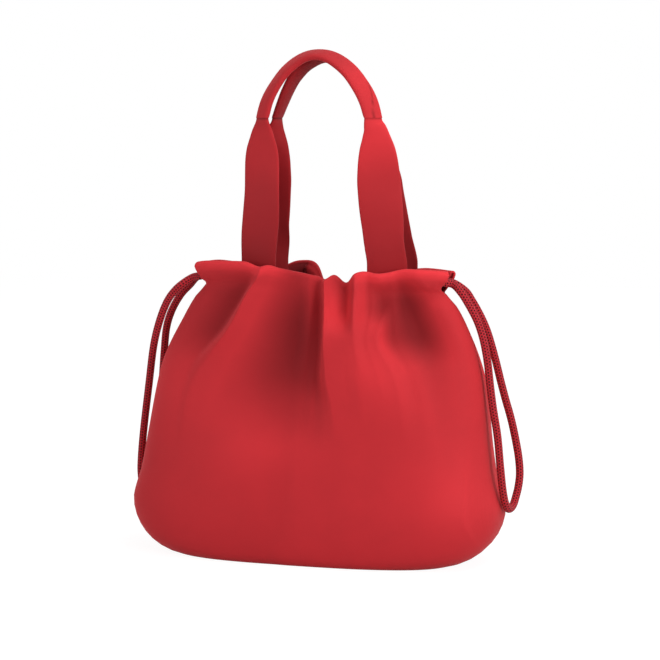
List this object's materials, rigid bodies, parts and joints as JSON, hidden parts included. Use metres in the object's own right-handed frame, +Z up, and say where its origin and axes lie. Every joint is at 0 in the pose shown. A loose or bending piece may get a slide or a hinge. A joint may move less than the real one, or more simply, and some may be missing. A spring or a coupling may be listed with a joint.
{
  "type": "drawstring tote bag",
  "caption": "Soft red cloth tote bag gathered at the mouth by a drawstring in a casing, with a pair of strap handles that narrow to rolled grips.",
  "frame": {"origin": "on the floor under the middle of the bag's box, measured without the free cord loops", "axes": "+X along the bag's length, -Y towards the front panel, +Z up"},
  "size_m": [0.3675, 0.1524, 0.4568],
  "materials": {
    "red_cloth": "smooth matte knit",
    "red_strap_cloth": "smooth matte knit",
    "red_cord": "matte braid"
  },
  "bodies": {
    "root": {"bag_body": "red_cloth", "front_strap_left": "red_strap_cloth", "front_strap_right": "red_strap_cloth", "front_grip": "red_strap_cloth", "back_strap_left": "red_strap_cloth", "back_strap_right": "red_strap_cloth", "back_grip": "red_strap_cloth", "drawstring_front_run": "red_cord", "drawstring_back_run": "red_cord", "drawstring_left_loop": "red_cord", "drawstring_right_loop": "red_cord"}
  },
  "joints": []
}
